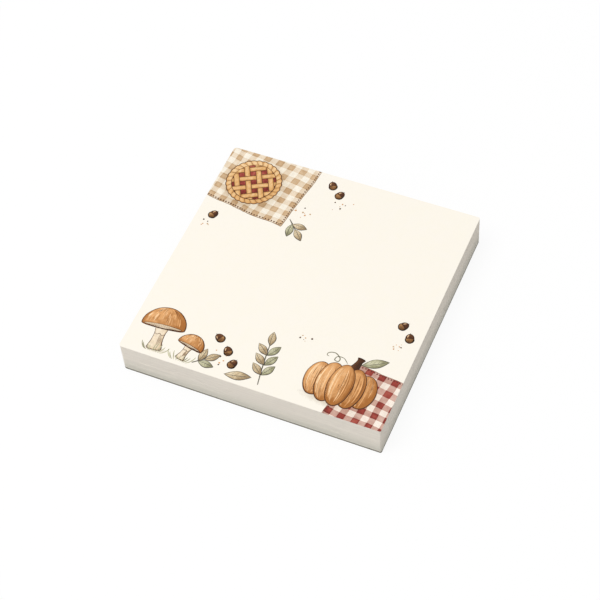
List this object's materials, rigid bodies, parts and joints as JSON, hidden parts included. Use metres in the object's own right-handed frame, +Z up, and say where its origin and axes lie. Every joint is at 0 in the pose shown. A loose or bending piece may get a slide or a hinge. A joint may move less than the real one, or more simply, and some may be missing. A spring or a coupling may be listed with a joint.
{
  "type": "sticky note pad",
  "caption": "Square pad of cream sticky notes on a thin backing sheet, with an autumn kitchen print along its edges and blank paper in the middle.",
  "frame": {"origin": "centre of the underside of the backing sheet", "axes": "+X along the front edge to the right, +Y towards the back edge where the notes are glued, +Z up out of the printed face"},
  "size_m": [0.0762, 0.0762, 0.0106],
  "materials": {
    "note_paper": "matte",
    "backing_board": "matte",
    "glue": "satin",
    "ink_caramel": "matte",
    "ink_rust": "matte",
    "ink_rose": "matte",
    "ink_tan": "matte",
    "ink_sand": "matte",
    "ink_cream": "matte",
    "ink_brown": "matte",
    "ink_sage": "matte"
  },
  "bodies": {
    "root": {"note_sheets": "note_paper", "backing_sheet": "backing_board", "glue_band": "glue", "print_pumpkin": "ink_caramel", "print_pie_crust": "ink_caramel", "print_pie_filling": "ink_rust", "print_mushroom_caps": "ink_caramel", "print_mushroom_stems": "ink_cream", "print_nuts": "ink_brown", "print_leaves": "ink_sage", "print_red_cloth_stripes": "ink_rose", "print_red_cloth_squares": "ink_rust", "print_tan_cloth_stripes": "ink_sand", "print_tan_cloth_squares": "ink_tan"}
  },
  "joints": []
}
